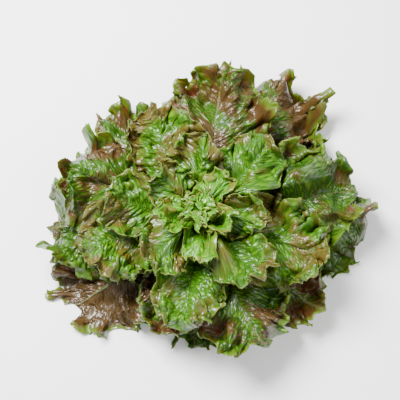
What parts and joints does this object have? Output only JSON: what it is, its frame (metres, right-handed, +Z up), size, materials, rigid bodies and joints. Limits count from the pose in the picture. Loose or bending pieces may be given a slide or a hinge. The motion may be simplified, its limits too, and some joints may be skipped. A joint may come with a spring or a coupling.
{
  "type": "red batavia lettuce head",
  "caption": "Head of red-tinged batavia lettuce: broad frilled leaves spread low round a cut stem, with a crisp green heart.",
  "frame": {"origin": "centre of the stem's flat cut face, which the head stands on", "axes": "+Z up along the stem towards the heart, +X to the right and +Y to the top as the picture shows the head"},
  "size_m": [0.3131, 0.289, 0.1058],
  "materials": {
    "stem": "pale cut stem, matt and slightly moist",
    "leaf_outer": "blistered leaf, bronze-brown over green, moist gloss",
    "leaf_middle": "blistered leaf, mixed green and bronze, moist gloss",
    "leaf_heart": "tender bright-green leaf with a light bronze flush, moist gloss"
  },
  "bodies": {
    "root": {"stem": "stem", "leaf_01": "leaf_outer", "leaf_02": "leaf_outer", "leaf_03": "leaf_outer", "leaf_04": "leaf_outer", "leaf_05": "leaf_outer", "leaf_06": "leaf_outer", "leaf_07": "leaf_outer", "leaf_08": "leaf_outer", "leaf_09": "leaf_outer", "leaf_10": "leaf_outer", "leaf_11": "leaf_outer", "leaf_12": "leaf_outer", "leaf_13": "leaf_middle", "leaf_14": "leaf_middle", "leaf_15": "leaf_middle", "leaf_16": "leaf_middle", "leaf_17": "leaf_middle", "leaf_18": "leaf_middle", "leaf_19": "leaf_middle", "leaf_20": "leaf_middle", "leaf_21": "leaf_middle", "leaf_22": "leaf_middle", "leaf_23": "leaf_middle", "leaf_24": "leaf_middle", "leaf_25": "leaf_heart", "leaf_26": "leaf_heart", "leaf_27": "leaf_heart", "leaf_28": "leaf_heart", "heart": "leaf_heart"}
  },
  "joints": []
}
